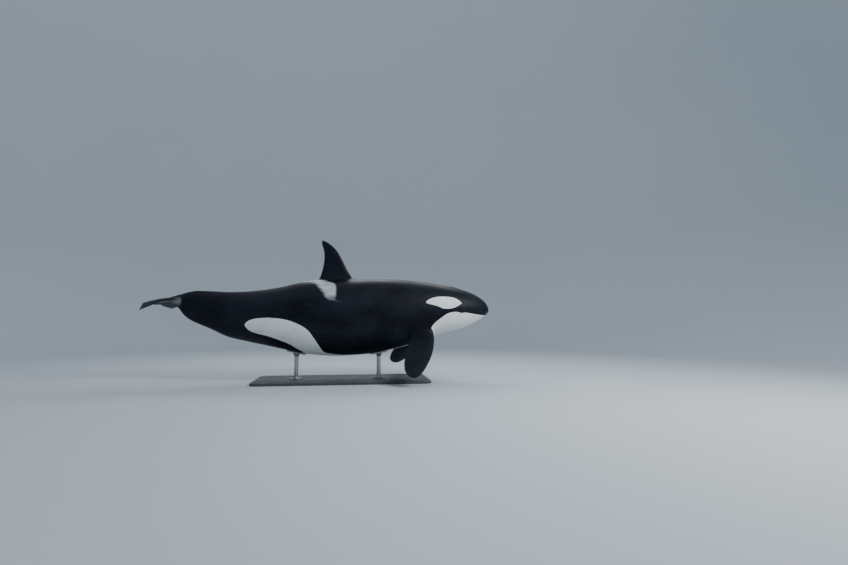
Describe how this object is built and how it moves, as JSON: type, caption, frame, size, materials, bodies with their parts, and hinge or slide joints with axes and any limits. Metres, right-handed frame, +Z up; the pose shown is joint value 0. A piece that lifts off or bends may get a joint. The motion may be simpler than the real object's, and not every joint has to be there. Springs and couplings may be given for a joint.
{
  "type": "orca",
  "caption": "Life-size still model of a gliding orca with black, white and grey skin, held level on short rods over a flat display base.",
  "frame": {"origin": "on the floor, in the underside of the display base, below the middle of the model's box", "axes": "+X ahead of the snout, +Y to the animal's left, +Z up"},
  "size_m": [5.7356, 2.3, 2.408],
  "materials": {
    "black_skin": "smooth wet skin, blue-black, with fine scratches",
    "white_skin": "smooth wet skin, off-white",
    "grey_skin": "smooth wet skin, pale blue-grey with soft edges",
    "eye": "wet, dark brown",
    "stand_paint": "matte dark grey paint",
    "stand_steel": "brushed"
  },
  "bodies": {
    "root": {"head": "black_skin", "lower_jaw": "white_skin", "eye_left": "eye", "eye_right": "eye", "eye_patch_left": "white_skin", "eye_patch_right": "white_skin", "throat_patch": "white_skin", "torso": "black_skin", "belly_patch": "white_skin", "saddle_patch": "grey_skin", "dorsal_fin": "black_skin", "pectoral_left": "black_skin", "pectoral_right": "black_skin", "tail_stock": "black_skin", "fluke_left": "black_skin", "fluke_right": "black_skin", "stand_base": "stand_paint", "stand_rod_front": "stand_steel", "stand_flange_front": "stand_steel", "stand_cradle_front": "stand_steel", "stand_rod_back": "stand_steel", "stand_flange_back": "stand_steel", "stand_cradle_back": "stand_steel"}
  },
  "joints": []
}
